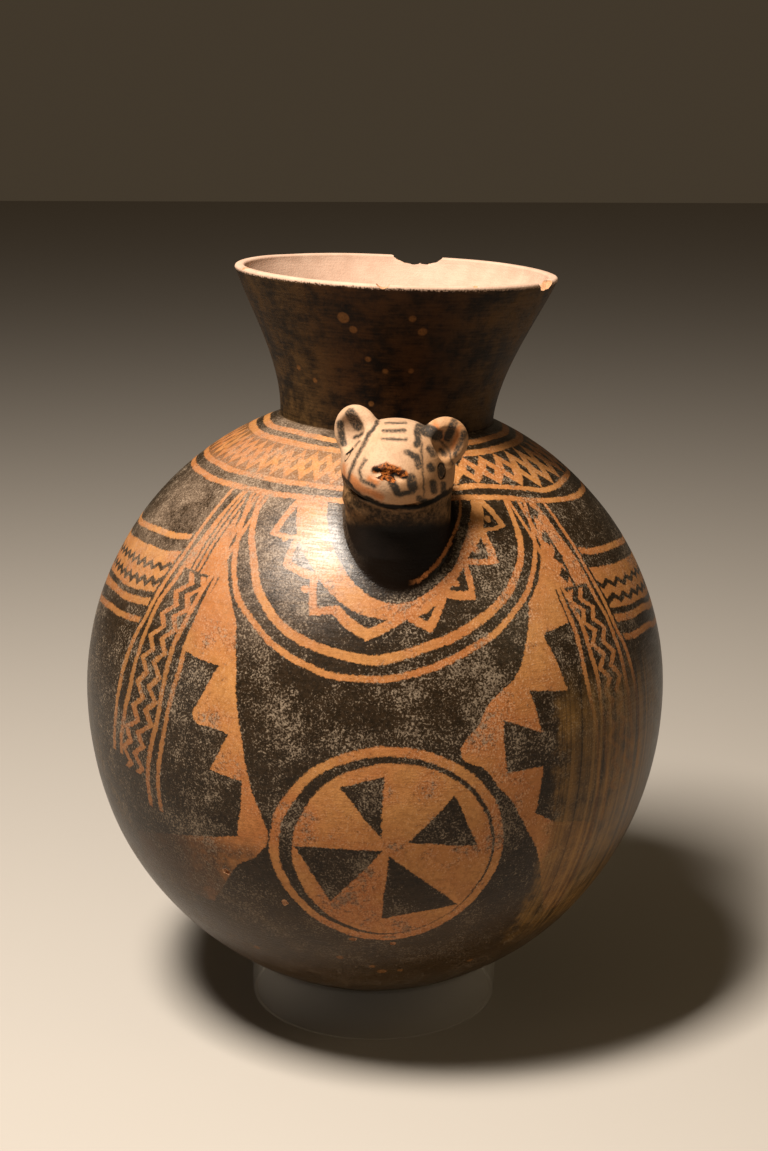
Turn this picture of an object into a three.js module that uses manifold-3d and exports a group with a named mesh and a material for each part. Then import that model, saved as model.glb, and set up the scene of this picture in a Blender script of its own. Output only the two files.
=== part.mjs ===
// A fired-clay bottle with a modelled animal head on its shoulder, standing in a short clear ring.
// Millimetres, +Z up. The head looks along -Y, and the bottle leans a little towards +X.
import * as THREE from 'three';
import { mergeVertices } from 'three/addons/utils/BufferGeometryUtils.js';
import Module from 'manifold-3d';

const wasm = await Module();
wasm.setup();

// Vessel, measured from the centre of its body
const BODY_RADIUS = 137;
const BODY_DEPTH_BELOW = 147.1;
const BODY_HEIGHT_ABOVE = 138.4;
const WAIST_RADIUS = 49.3;
const RIM_RADIUS = 73.7;
const RIM_HEIGHT = 197.3;
const BODY_WALL = 5.5;
const NECK_WALL = 4.5;
const LIP_ROUND = 1.4;
const BOTTLE_LEAN = THREE.MathUtils.degToRad(2.06);
const NECK_LEAN = THREE.MathUtils.degToRad(1.34);

// Ring stand
const RING_RADIUS = 60;
const RING_WALL = 3;
const RING_HEIGHT = 24;
const SEAT_GAP = 0.6;

// Head, placed from the centre of the body, and its own frame: x across, -y forwards, z up
const HEAD_CENTRE = new THREE.Vector3(-0.5, -93.5, 124);
const HEAD_TURN = THREE.MathUtils.degToRad(-9);
const HEAD_TILT = THREE.MathUtils.degToRad(5);
const HEAD_NOD = THREE.MathUtils.degToRad(8);
const SKULL_RADII = [24, 23, 20.5];
const THROAT_RADIUS = 22.5;
const THROAT_AXIS = [1, -90.5];
const THROAT_LOW = 70;
const THROAT_SPREAD = 2.5;
const THROAT_RISE = 20;
const SNOUT_CENTRE = [-1, -17, 2];
const SNOUT_RADII = [18, 17, 13];
const JAW_CENTRE = [0, -8.5, -13];
const JAW_RADII = [21, 15.5, 10];
const MOUTH_HEIGHT = -7;
const MOUTH_RADIUS = 14.5;
const MOUTH_HALF_GAP = 1.3;
const MOUTH_DEPTH = 3;
const EAR_RADIUS = 10.3;
const EAR_EDGE = 2.9;
const EAR_SPREAD = 19;
const EAR_RISE = 13.5;
const EAR_SPLAY = THREE.MathUtils.degToRad(28);
const EYE_RADIUS = 3.6;
const EYE_AROUND = THREE.MathUtils.degToRad(58);
const EYE_RISE = 3.5;
const NOSTRIL_RADIUS = 1.8;
const NOSTRIL_SPREAD = 4;

// Roundness of the faceted solids
const TURNS_OUTSIDE = 60;
const TURNS_INSIDE = 40;
const TURNS_RING = 64;

const waistHeight = BODY_HEIGHT_ABOVE * Math.sqrt(1 - (WAIST_RADIUS / BODY_RADIUS) ** 2);

function range(count) {
  return Array.from({ length: count }, (_, i) => i);
}

// A closed geometry becomes a solid that can be joined and cut.
function solid(geometry, matrix = new THREE.Matrix4()) {
  const plain = geometry.clone().applyMatrix4(matrix);
  plain.deleteAttribute('normal');
  plain.deleteAttribute('uv');
  const welded = mergeVertices(plain, 1e-4);
  return new wasm.Manifold(new wasm.Mesh({
    numProp: 3,
    vertProperties: new Float32Array(welded.attributes.position.array),
    triVerts: new Uint32Array(welded.index.array),
  }));
}

function geometryOf(body) {
  const { vertProperties, triVerts } = body.getMesh();
  const geometry = new THREE.BufferGeometry();
  geometry.setAttribute('position', new THREE.BufferAttribute(new Float32Array(vertProperties), 3));
  geometry.setIndex(new THREE.BufferAttribute(new Uint32Array(triVerts), 1));
  geometry.computeVertexNormals();
  return geometry;
}

function place(x, y, z, turn = [0, 0, 0], scale = [1, 1, 1]) {
  const rotation = new THREE.Quaternion().setFromEuler(new THREE.Euler(...turn, 'ZYX'));
  return new THREE.Matrix4().compose(new THREE.Vector3(x, y, z), rotation, new THREE.Vector3(...scale));
}

// A lathe about Z, from points of radius and height that run upwards.
function lathe(points, turns) {
  const upright = points.map(([radius, height]) => new THREE.Vector2(Math.max(radius, 0), height));
  return new THREE.LatheGeometry(upright, turns).rotateX(Math.PI / 2);
}

// Points of the body's curve, drawn in by a wall, from its pole up to the neck's waist.
function bodyCurve(wall, stepsBelow, stepsAbove) {
  const radius = BODY_RADIUS - wall;
  const above = BODY_HEIGHT_ABOVE - wall;
  const end = Math.acos((WAIST_RADIUS - (wall ? NECK_WALL : 0)) / radius);
  const lower = range(stepsBelow).map((i) => {
    const angle = (i / stepsBelow - 1) * Math.PI / 2;
    return [radius * Math.cos(angle), (BODY_DEPTH_BELOW - wall) * Math.sin(angle)];
  });
  lower[0][0] = 0;
  const upper = range(stepsAbove + 1).map((i) => {
    const angle = (i / stepsAbove) * end;
    return [radius * Math.cos(angle), above * Math.sin(angle)];
  });
  return [...lower, ...upper];
}

// The neck flares slowly above its waist and then fast, and eases at the lip.
function neckCurve(wall, steps, top) {
  return range(steps).map((i) => {
    const rise = (i + 1) / steps;
    const flare = 1.28 * rise ** 1.78 - 0.28 * rise ** 4;
    const radius = WAIST_RADIUS + (RIM_RADIUS - WAIST_RADIUS) * flare - wall;
    return [radius, waistHeight + (top - waistHeight) * rise];
  });
}

// The neck leans a little more than the body, from its waist up.
function leanNeck(geometry) {
  const position = geometry.attributes.position;
  for (let i = 0; i < position.count; i += 1) {
    const above = Math.max(0, position.getZ(i) - waistHeight);
    position.setX(i, position.getX(i) + above * Math.tan(NECK_LEAN));
  }
  return geometry;
}

function vesselOutside() {
  const lip = range(4).map((i) => {
    const angle = (i / 3) * Math.PI / 2;
    const drop = LIP_ROUND * (1 - Math.sin(angle));
    return [RIM_RADIUS - LIP_ROUND * (1 - Math.cos(angle)), RIM_HEIGHT - drop];
  });
  const neck = neckCurve(0, 6, RIM_HEIGHT - LIP_ROUND);
  const curve = [...bodyCurve(0, 11, 8), ...neck, ...lip.slice(1), [0, RIM_HEIGHT]];
  return leanNeck(lathe(curve, TURNS_OUTSIDE));
}

function vesselCavity() {
  const mouth = RIM_RADIUS - NECK_WALL;
  const over = [[mouth + 1.6, RIM_HEIGHT], [mouth + 6, RIM_HEIGHT + 4], [0, RIM_HEIGHT + 4]];
  const waist = [[WAIST_RADIUS - NECK_WALL, waistHeight]];
  const neck = neckCurve(NECK_WALL, 4, RIM_HEIGHT - LIP_ROUND);
  return leanNeck(lathe([...bodyCurve(BODY_WALL, 8, 6), ...waist, ...neck, ...over], TURNS_INSIDE));
}

const headFrame = place(...HEAD_CENTRE.toArray(), [HEAD_NOD, HEAD_TILT, HEAD_TURN]);

function onHead(centre, turn, scale) {
  return headFrame.clone().multiply(place(...centre, turn, scale));
}

function ball(centre, radii, around = 24, rows = 14) {
  return solid(new THREE.SphereGeometry(1, around, rows), onHead(centre, [0, 0, 0], radii));
}

// The throat is upright and spreads a little where it meets the shoulder.
function throat() {
  const flare = range(5).map((i) => {
    const angle = (i / 4) * Math.PI / 2;
    const spread = THROAT_SPREAD * (1 - Math.sin(angle));
    return [THROAT_RADIUS + spread, THROAT_LOW + THROAT_RISE * Math.sin(angle)];
  });
  const curve = [[0, THROAT_LOW], ...flare, [THROAT_RADIUS, HEAD_CENTRE.z - 6], [0, HEAD_CENTRE.z + 4]];
  return solid(lathe(curve, 32), place(...THROAT_AXIS, 0));
}

// A round ear: a shallow bowl with a thick rolled edge, its hollow turned forwards and outwards.
function ear(side) {
  const edge = range(6).map((i) => {
    const angle = (i / 5 - 0.5) * Math.PI;
    return [EAR_RADIUS - EAR_EDGE + EAR_EDGE * Math.cos(angle), EAR_EDGE * Math.sin(angle)];
  });
  const back = [[0, -2.4 * EAR_EDGE], [EAR_RADIUS * 0.5, -2 * EAR_EDGE]];
  const hollow = [[EAR_RADIUS * 0.5, -0.1 * EAR_EDGE], [0, -0.4 * EAR_EDGE]];
  const facing = [Math.PI / 2, 0, side * EAR_SPLAY];
  return solid(lathe([...back, ...edge, ...hollow], 20), onHead([side * EAR_SPREAD, -2, EAR_RISE], facing));
}

// The mouth is one groove round the front of the snout, a little lower in front.
function mouthCut() {
  const floor = MOUTH_RADIUS - MOUTH_DEPTH;
  const outer = MOUTH_RADIUS + 4;
  const lips = [[outer, -MOUTH_HALF_GAP], [outer, MOUTH_HALF_GAP]];
  const wedge = [[floor, -0.3], ...lips, [floor, 0.3], [floor, -0.3]];
  const middle = [SNOUT_CENTRE[0], SNOUT_CENTRE[1], MOUTH_HEIGHT];
  const front = new THREE.BoxGeometry(2 * outer, outer, 4 * MOUTH_HALF_GAP).translate(0, -outer / 2, 0);
  const turn = [THREE.MathUtils.degToRad(5), 0, 0];
  return solid(lathe(wedge, 32), onHead(middle, turn)).intersect(solid(front, onHead(middle, turn)));
}

// Each eye is a ring pressed with the end of a hollow cane.
function eyeCut(side) {
  const inner = EYE_RADIUS - 0.8;
  const cane = lathe([[inner, -2], [EYE_RADIUS, -2], [EYE_RADIUS, 3], [inner, 3], [inner, -2]], 20);
  const angle = side * EYE_AROUND;
  const centre = [SKULL_RADII[0] * Math.sin(angle), -SKULL_RADII[1] * Math.cos(angle), EYE_RISE];
  return solid(cane, onHead(centre, [Math.PI / 2, 0, angle]));
}

function nostrilCut(side) {
  const reach = SNOUT_CENTRE[1] - SNOUT_RADII[1] + 1.5;
  const size = [1.5, 1.6, 0.9].map((part) => part * NOSTRIL_RADIUS);
  return ball([SNOUT_CENTRE[0] + side * NOSTRIL_SPREAD, reach, SNOUT_CENTRE[2] + 5], size, 10, 8);
}

// Old chips in the lip, each with its place round the rim in degrees from the front.
const CHIPS = [
  { around: 168, long: 28, deep: 5.5 },
  { around: 61, long: 17, deep: 4.5 },
  { around: -8, long: 6, deep: 2.5 },
];

function chipCut({ around, long, deep }) {
  const angle = THREE.MathUtils.degToRad(around);
  const radius = RIM_RADIUS - NECK_WALL / 2;
  const lean = (RIM_HEIGHT - waistHeight) * Math.tan(NECK_LEAN);
  const hollow = new THREE.SphereGeometry(1, 12, 7);
  return solid(hollow, place(radius * Math.sin(angle) + lean, -radius * Math.cos(angle), RIM_HEIGHT + 1,
    [0, 0, angle], [long / 2, NECK_WALL * 1.6, deep]));
}

function bottleSolid() {
  let body = solid(vesselOutside());
  const lumps = [ball([0, 0, 0], SKULL_RADII), ball(SNOUT_CENTRE, SNOUT_RADII), ball(JAW_CENTRE, JAW_RADII)];
  const head = [throat(), ...lumps, ear(-1), ear(1)];
  head.forEach((piece) => { body = body.add(piece); });
  const cuts = [solid(vesselCavity()), mouthCut(), eyeCut(-1), eyeCut(1), nostrilCut(-1), nostrilCut(1)];
  [...cuts, ...CHIPS.map(chipCut)].forEach((cut) => { body = body.subtract(cut); });
  return geometryOf(body);
}

// The height at which a round body of these radii rests on the ring's inner edge.
function seatHeight() {
  const inner = RING_RADIUS - RING_WALL;
  return RING_HEIGHT + BODY_DEPTH_BELOW * Math.sqrt(1 - (inner / BODY_RADIUS) ** 2) + SEAT_GAP;
}

const clay = new THREE.MeshStandardMaterial({ color: 0x3a3029, roughness: 0.42, metalness: 0 });
const acrylic = new THREE.MeshStandardMaterial({
  color: 0xf2f4f2, roughness: 0.05, metalness: 0, transparent: true, opacity: 0.25,
});

const bottle = new THREE.Mesh(bottleSolid(), clay);
bottle.name = 'bottle';
bottle.position.z = seatHeight();
bottle.rotation.y = BOTTLE_LEAN;

const ringInner = RING_RADIUS - RING_WALL;
const ringSection = [
  [ringInner, 0], [RING_RADIUS, 0], [RING_RADIUS, RING_HEIGHT], [ringInner, RING_HEIGHT], [ringInner, 0],
];
const ringStand = new THREE.Mesh(lathe(ringSection, TURNS_RING), acrylic);
ringStand.name = 'ring_stand';

const pottery = new THREE.Group();
pottery.add(bottle, ringStand);

// The origin is under the middle of the whole piece.
const box = new THREE.Box3().setFromObject(pottery, true);
pottery.position.x = -(box.min.x + box.max.x) / 2;
pottery.position.y = -(box.min.y + box.max.y) / 2;

export default pottery;
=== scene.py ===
import math

import bmesh
import bpy
import numpy as np
from mathutils import Matrix, Vector, noise


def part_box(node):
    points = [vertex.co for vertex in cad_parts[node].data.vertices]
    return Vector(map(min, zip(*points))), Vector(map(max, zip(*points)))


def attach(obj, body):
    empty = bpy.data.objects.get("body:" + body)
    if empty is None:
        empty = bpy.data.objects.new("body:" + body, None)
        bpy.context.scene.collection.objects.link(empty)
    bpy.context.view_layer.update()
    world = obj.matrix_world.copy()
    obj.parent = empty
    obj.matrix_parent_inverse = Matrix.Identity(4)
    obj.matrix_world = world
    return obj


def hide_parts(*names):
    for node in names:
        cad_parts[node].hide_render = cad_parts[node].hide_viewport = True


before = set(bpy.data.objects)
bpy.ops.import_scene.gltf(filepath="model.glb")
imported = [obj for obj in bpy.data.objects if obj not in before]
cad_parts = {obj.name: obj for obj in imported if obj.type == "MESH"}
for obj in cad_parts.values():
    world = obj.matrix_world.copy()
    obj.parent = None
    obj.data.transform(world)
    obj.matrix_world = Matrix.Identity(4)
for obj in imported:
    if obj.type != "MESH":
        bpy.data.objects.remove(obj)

# Blender's own starting objects
for spare in ("Cube", "Light", "Camera"):
    if spare in bpy.data.objects:
        bpy.data.objects.remove(bpy.data.objects[spare])
bpy.context.view_layer.update()

# The vessel, in millimetres from the centre of its body, as in the CAD
BODY_RADIUS = 137.0
BODY_BELOW = 147.1
BODY_ABOVE = 138.4
WAIST_RADIUS = 49.3
WAIST_HEIGHT = BODY_ABOVE * math.sqrt(1 - (WAIST_RADIUS / BODY_RADIUS) ** 2)
RIM_RADIUS = 73.7
RIM_HEIGHT = 197.3
BODY_WALL = 5.5
NECK_WALL = 4.5
LIP_ROUND = 1.4
BOTTLE_LEAN = math.radians(2.06)
NECK_LEAN = math.tan(math.radians(1.34))
RING_RADIUS = 60.0
RING_WALL = 3.0
RING_HEIGHT = 24.0
SEAT_GAP = 0.6
MILLIMETRE = 0.001

# The column that carries the head comes out of the shoulder here
THROAT_X, THROAT_Y = 1.0, -90.5
THROAT_RADIUS = 22.3
CANE_RADIUS = 3.3

ring_low, ring_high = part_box("ring_stand")
ring_centre = (ring_low + ring_high) / 2
seat = RING_HEIGHT + SEAT_GAP + BODY_BELOW * math.sqrt(1 - ((RING_RADIUS - RING_WALL) / BODY_RADIUS) ** 2)
body_centre = Vector((ring_centre.x, ring_centre.y, seat * MILLIMETRE))
bottle_place = (
    Matrix.Translation(body_centre) @ Matrix.Rotation(BOTTLE_LEAN, 4, "Y") @ Matrix.Scale(MILLIMETRE, 4)
)
ring_place = Matrix.Translation((ring_centre.x, ring_centre.y, 0)) @ Matrix.Scale(MILLIMETRE, 4)

# The head's own frame: x across, -y forwards, z up
HEAD_CENTRE = Vector((-0.5, -93.5, 124.0))
HEAD_ANGLES = (math.radians(8), math.radians(5), math.radians(-9))
head_turn = (
    Matrix.Rotation(HEAD_ANGLES[2], 3, "Z")
    @ Matrix.Rotation(HEAD_ANGLES[1], 3, "Y")
    @ Matrix.Rotation(HEAD_ANGLES[0], 3, "X")
)


# Nodes

def operator(operation, reflected=False):
    """A Python operator that adds a Math node, its values in the order that they are written."""
    def apply(self, other):
        pair = (other, self) if reflected else (self, other)
        return self.tree.math(operation, *pair)
    return apply


class Value:
    """A value in a node tree. An operator on it adds the Math node that works it out."""

    def __init__(self, tree, socket):
        self.tree = tree
        self.socket = socket

    def math(self, operation, *others):
        return self.tree.math(operation, self, *others)

    def out(self, name):
        """Another output of the same node."""
        return Value(self.tree, self.socket.node.outputs[name])

    def __abs__(self):
        return self.math("ABSOLUTE")

    def __neg__(self):
        return self.math("MULTIPLY", -1)


OPERATIONS = {
    "add": "ADD", "sub": "SUBTRACT", "mul": "MULTIPLY", "truediv": "DIVIDE",
    "or": "MAXIMUM", "and": "MINIMUM",
}
for word, operation in OPERATIONS.items():
    setattr(Value, f"__{word}__", operator(operation))
    setattr(Value, f"__r{word}__", operator(operation, True))


def set_curve(mapping, points, handle):
    """A curve through points, in a box that is opened wide before it is drawn in round them."""
    wide = 100
    across = [x for x, _ in points]
    up = [y for _, y in points]
    mapping.clip_min_x, mapping.clip_max_x = -wide, wide
    mapping.clip_min_y, mapping.clip_max_y = -wide, wide
    mapping.clip_min_x, mapping.clip_max_x = min(across), max(across)
    mapping.clip_min_y, mapping.clip_max_y = min(up) - 1, max(up) + 1
    drawn = mapping.curves[0]
    while len(drawn.points) < len(points):
        drawn.points.new(across[0], up[0])
    for point, place in zip(drawn.points, sorted(points)):
        point.location = place
        point.handle_type = handle
    mapping.update()


class Tree:
    """A node tree and the few ways of adding to it."""

    def __init__(self, tree):
        self.tree = tree

    def add(self, kind, settings=None, inputs=None, output=0):
        node = self.tree.nodes.new(kind)
        for name, setting in (settings or {}).items():
            if name == "points":
                set_curve(node.mapping, *setting)
            else:
                setattr(node, name, setting)
        pairs = inputs.items() if isinstance(inputs, dict) else enumerate(inputs or ())
        for slot, value in pairs:
            self.feed(node.inputs[slot], value)
        return Value(self, node.outputs[output])

    def feed(self, socket, value):
        if isinstance(value, Value):
            self.tree.links.new(value.socket, socket)
        elif value is not None:
            socket.default_value = value

    def math(self, operation, *values):
        return self.add("ShaderNodeMath", {"operation": operation}, values)

    def vector(self, operation, *values, output=0):
        return self.add("ShaderNodeVectorMath", {"operation": operation}, values, output)

    def scaled(self, vector, size):
        return self.add("ShaderNodeVectorMath", {"operation": "SCALE"}, {"Vector": vector, "Scale": size})

    def noise(self, vector, scale, detail=2.0, rough=0.5, output="Fac"):
        inputs = {"Vector": vector, "Scale": scale, "Detail": detail, "Roughness": rough}
        return self.add("ShaderNodeTexNoise", None, inputs, output)

    def combine(self, *parts):
        return self.add("ShaderNodeCombineXYZ", None, parts)

    def polygon(self, x, y, corners):
        """How far a point is outside a convex shape, its corners in either order."""
        middle = np.mean(corners, axis=0)

        def past(start, end):
            length = math.dist(start, end)
            across, down = (end[1] - start[1]) / length, (start[0] - end[0]) / length
            if across * (middle[0] - start[0]) + down * (middle[1] - start[1]) > 0:
                across, down = -across, -down
            part = self.math("MULTIPLY_ADD", y, down, -across * start[0] - down * start[1])
            return self.math("MULTIPLY_ADD", x, across, part)

        return either(past(*side) for side in zip(corners, corners[1:] + corners[:1]))

    def stroke(self, point, start, end, half, soft=0.5):
        """1 on a round-ended brush stroke between two places."""
        run = Vector((*end, 0)) - Vector((*start, 0))
        away = self.vector("SUBTRACT", point, (*start, 0.0))
        along = self.vector("DOT_PRODUCT", away, tuple(run / run.length_squared), output="Value")
        held = self.add("ShaderNodeClamp", None, [along])
        back = self.scaled(tuple(run), held)
        return below(self.vector("DISTANCE", away, back, output="Value"), half, soft)

    def strokes(self, point, marks, soft=0.5):
        return either(self.stroke(point, *mark, soft) for mark in marks)

    def spot(self, x, y, place, radii):
        """Below 1 inside an upright oval."""
        across = self.math("MULTIPLY_ADD", x, 1 / radii[0], -place[0] / radii[0])
        up = self.math("MULTIPLY_ADD", y, 1 / radii[1], -place[1] / radii[1])
        return (across * across + up * up).math("SQRT")

    def split(self, vector):
        """The three parts of a vector."""
        parts = self.add("ShaderNodeSeparateXYZ", None, [vector])
        return parts.out("X"), parts.out("Y"), parts.out("Z")

    def uneven(self, vector, scale, detail, rough):
        """Two noises from one node."""
        x, y, _ = self.split(self.noise(vector, scale, detail, rough, "Color"))
        return x, y


# A smooth step needs no clamp, and Cycles runs out of room for a large material with many of them
STEP = {"interpolation_type": "SMOOTHSTEP", "clamp": False}


def step(value, edge, soft, before, after):
    ends = {"From Min": edge - soft, "From Max": edge + soft, "To Min": before, "To Max": after}
    return value.tree.add("ShaderNodeMapRange", STEP, {"Value": value, **ends})


def below(value, edge, soft=0.15):
    """1 where a value is below an edge, 0 above it, with a soft step between."""
    return step(value, edge, soft, 1.0, 0.0)


def above(value, edge, soft=0.15):
    return step(value, edge, soft, 0.0, 1.0)


def line(distance, half, soft=0.15):
    """1 on a line that is twice the half width across."""
    return below(abs(distance), half, soft)


def curve(value, points, smooth=True):
    handle = "AUTO_CLAMPED" if smooth else "VECTOR"
    return value.tree.add("ShaderNodeFloatCurve", {"points": (points, handle)}, {"Value": value})


def zigzag(phase):
    """0 at whole numbers, 1 half way between them."""
    return abs(phase.math("FRACT") - 0.5) * -2 + 1


def strayed(value, cloud, amount):
    """A value pushed to and fro by a noise."""
    return value + (cloud - 0.5) * amount


def either(masks):
    """The highest of several masks, each joined on as soon as it is made."""
    joined = None
    for mask in masks:
        joined = mask if joined is None else joined | mask
    return joined


def mix(factor, first, second):
    """Two colours mixed by a factor. A colour is a value or three numbers."""
    tree = next(part.tree for part in (factor, first, second) if isinstance(part, Value))
    first, second = ((*c, 1.0) if isinstance(c, tuple) else c for c in (first, second))
    return tree.add("ShaderNodeMix", {"data_type": "RGBA"}, {0: factor, 6: first, 7: second}, 2)


# Turned shapes

def turned_tree():
    """Geometry Nodes that turn an upright profile about Z, with more columns in front.

    The wall swells a little, by up to half its Unevenness, except near its Smooth Place."""
    group = bpy.data.node_groups.new("turned profile", "GeometryNodeTree")
    face = group.interface
    sockets = {"Profile": "Geometry", "Columns": "Int", "Crowding": "Float", "Unevenness": "Float",
               "Smooth Place": "Vector", "Smooth Reach": "Float", "Finish": "Material"}
    for name, kind in sockets.items():
        face.new_socket(name, in_out="INPUT", socket_type="NodeSocket" + kind)
    face.new_socket("Shape", in_out="OUTPUT", socket_type="NodeSocketGeometry")
    tree = Tree(group)
    given = tree.add("NodeGroupInput")
    size = tree.add("GeometryNodeAttributeDomainSize", {"component": "MESH"}, [given.out("Profile")])
    sheet = tree.add("GeometryNodeMeshGrid", None, {
        "Size X": 1.0, "Size Y": 1.0, "Vertices X": given.out("Columns") + 1, "Vertices Y": size})
    across, along, _ = tree.split(tree.add("GeometryNodeInputPosition"))
    turn = across * math.tau
    around = turn - turn.math("SINE") * given.out("Crowding")
    row = ((along + 0.5) * (size - 1) + 0.5).math("FLOOR")
    whole = tree.add("FunctionNodeFloatToInt", {"rounding_mode": "ROUND"}, [row])
    profile = tree.add("GeometryNodeSampleIndex", {"data_type": "FLOAT_VECTOR", "domain": "POINT"}, {
        "Geometry": given.out("Profile"), "Value": tree.add("GeometryNodeInputPosition"), "Index": whole})
    radius, _, height = tree.split(profile)
    smooth = tree.combine(radius * around.math("SINE"), radius * around.math("COSINE") * -1, height)
    swell = tree.add("ShaderNodeTexNoise", None, {"Vector": smooth, "Scale": 0.016, "Detail": 1.5})
    gap = tree.vector("DISTANCE", smooth, given.out("Smooth Place"), output="Value")
    free = tree.add("ShaderNodeMapRange", None, {
        "Value": gap, "From Min": given.out("Smooth Reach"), "From Max": given.out("Smooth Reach") * 1.6})
    push = (swell - 0.5) * given.out("Unevenness") * free
    out = tree.vector("NORMALIZE", tree.vector("MULTIPLY", smooth, (1.0, 1.0, 0.3)))
    amount = tree.scaled(out, push)
    placed = tree.add("GeometryNodeSetPosition", None, {
        "Geometry": sheet, "Position": tree.vector("ADD", smooth, amount)})
    closed = tree.add("GeometryNodeMergeByDistance", None, {"Geometry": placed, "Distance": 0.0005})
    real = tree.add("GeometryNodeRealizeInstances", None, [closed])
    done = tree.add("GeometryNodeSetMaterial", None, {"Geometry": real, "Material": given.out("Finish")})
    tree.feed(group.nodes.new("NodeGroupOutput").inputs[0], done)
    return group


def turned(name, profile, finish, **sizes):
    """A plain closed mesh turned from points of radius and height."""
    mesh = bpy.data.meshes.new(name + " profile")
    points = [(radius, 0.0, height) for radius, height in profile]
    mesh.from_pydata(points, [(i, i + 1) for i in range(len(points) - 1)], [])
    holder = bpy.data.objects.new(name + " profile", mesh)
    bpy.context.scene.collection.objects.link(holder)
    modifier = holder.modifiers.new("turned", "NODES")
    modifier.node_group = turning
    wanted = {"Finish": finish, **sizes}
    for item in turning.interface.items_tree:
        if item.in_out == "INPUT" and item.name in wanted:
            modifier[item.identifier] = wanted[item.name]
    graph = bpy.context.evaluated_depsgraph_get()
    made = bpy.data.meshes.new_from_object(holder.evaluated_get(graph), depsgraph=graph)
    made.name = name
    bpy.data.objects.remove(holder)
    return made


OUTSIDE_BODY_ROWS = 170
OUTSIDE_NECK_ROWS = 44
INSIDE_BODY_ROWS = 44
INSIDE_NECK_ROWS = 24
LIP_ROWS = 7


def vessel_profile():
    """The outside from its foot up, over the lip, and down the inside to the floor."""
    def body(wall, count, end_radius):
        end = math.acos(end_radius / (BODY_RADIUS - wall))
        for angle in np.linspace(-math.pi / 2, end, count):
            tall = (BODY_BELOW if angle < 0 else BODY_ABOVE) - wall
            yield max(0.0, (BODY_RADIUS - wall) * math.cos(angle)), tall * math.sin(angle)

    def neck(wall, count, top):
        for rise in np.linspace(0, 1, count)[1:]:
            flare = 1.28 * rise ** 1.78 - 0.28 * rise ** 4
            radius = WAIST_RADIUS + (RIM_RADIUS - WAIST_RADIUS) * flare - wall
            yield radius, WAIST_HEIGHT + (top - WAIST_HEIGHT) * rise

    def lip(side):
        middle = RIM_RADIUS - NECK_WALL / 2 + side * (NECK_WALL / 2 - LIP_ROUND)
        for angle in np.linspace(0, math.pi / 2, LIP_ROWS):
            turn = angle if side > 0 else math.pi / 2 - angle
            height = RIM_HEIGHT - LIP_ROUND * (1 - math.sin(turn))
            yield middle + side * LIP_ROUND * math.cos(turn), height

    top = RIM_HEIGHT - LIP_ROUND
    inside_waist = WAIST_RADIUS - NECK_WALL
    outside = [*body(0, OUTSIDE_BODY_ROWS, WAIST_RADIUS), *neck(0, OUTSIDE_NECK_ROWS, top)][:-1]
    inside = [*body(BODY_WALL, INSIDE_BODY_ROWS, inside_waist)]
    inside += [(inside_waist, WAIST_HEIGHT), *neck(NECK_WALL, INSIDE_NECK_ROWS, top)][:-1]
    return outside + [*lip(1), *lip(-1)] + inside[::-1]


def ring_profile():
    round_over = 0.7
    inner = RING_RADIUS - RING_WALL
    corners = [
        (inner, 0, 180), (RING_RADIUS, 0, 270), (RING_RADIUS, RING_HEIGHT, 0), (inner, RING_HEIGHT, 90),
    ]
    points = []
    for radius, height, start in corners:
        x = radius + (round_over if radius == inner else -round_over)
        z = height + (round_over if height == 0 else -round_over)
        for angle in np.radians(np.linspace(start, start + 90, 5)):
            points.append((x + round_over * math.cos(angle), z + round_over * math.sin(angle)))
    return points + points[:1]


# The modelled head

def blend_in(first, second, reach):
    """Two shapes joined with a smooth fillet."""
    near = np.maximum(reach - np.abs(first - second), 0)
    return np.minimum(first, second) - near * near / (4 * reach)


def cut_out(first, second, reach):
    return -blend_in(-first, second, reach)


def oval(points, centre, radii):
    """Near enough the distance to an ellipsoid."""
    local = (points - np.array(centre)) / np.array(radii)
    size = np.sqrt((local ** 2).sum(-1)) + 1e-9
    slope = np.sqrt(((local / np.array(radii)) ** 2).sum(-1)) + 1e-9
    return size * (size - 1) / slope


def turned_points(points, centre, angle):
    """Points seen from a frame that is turned about z."""
    c, s = math.cos(angle), math.sin(angle)
    x, y, z = (points - np.array(centre)).T
    return np.stack([c * x + s * y, -s * x + c * y, z], -1)


def shoulder(points):
    return oval(points, (0, 0, 0), (BODY_RADIUS, BODY_RADIUS, BODY_ABOVE))


# The head's ovals in its own frame: centre and radii
SKULL = (0, 0.5, -0.5), (23.6, 22.5, 20.2)
SNOUT = (-1, -17, 1.5), (18, 16.6, 12.8)
BROW = (0, -9, 9.5), (15, 13, 9)
JAW = (0, -8.5, -13), (20.5, 15.2, 9.6)
# Each ear: its side, the degrees that it turns outwards, its size and its height
EARS = [(-1, 30, 11.2, 12.6), (1, 16, 10.2, 14.2)]
EAR_THICKNESS = 5.6
MOUTH = (-1, -17, -7)
MOUTH_SLOPE = math.radians(5)
MOUTH_REACH = 10.5


def with_ear(face, local, side, splay, size, rise):
    near = turned_points(local, (side * 18.6, -1.5, rise), side * math.radians(splay))
    ear = oval(near, (0, 0.6, 0), (size, EAR_THICKNESS, size + 0.4))
    hollow = oval(near, (side * 0.4, -5.6, 0.9), (size - 3.4, EAR_THICKNESS, size - 3.1))
    return cut_out(blend_in(face, ear, 3.5), hollow, 1.6)


def mouth_groove(local):
    """The cut between the lips, which opens a little towards the front."""
    x, y, z = (local - np.array(MOUTH)).T
    c, s = math.cos(MOUTH_SLOPE), math.sin(MOUTH_SLOPE)
    y, z = c * y + s * z, -s * y + c * z
    round_snout = np.sqrt(x * x + y * y)
    groove = np.abs(z) - 0.5 - 0.22 * (round_snout - MOUTH_REACH)
    return np.maximum(np.maximum(groove, MOUTH_REACH - round_snout), y - 3)


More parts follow.
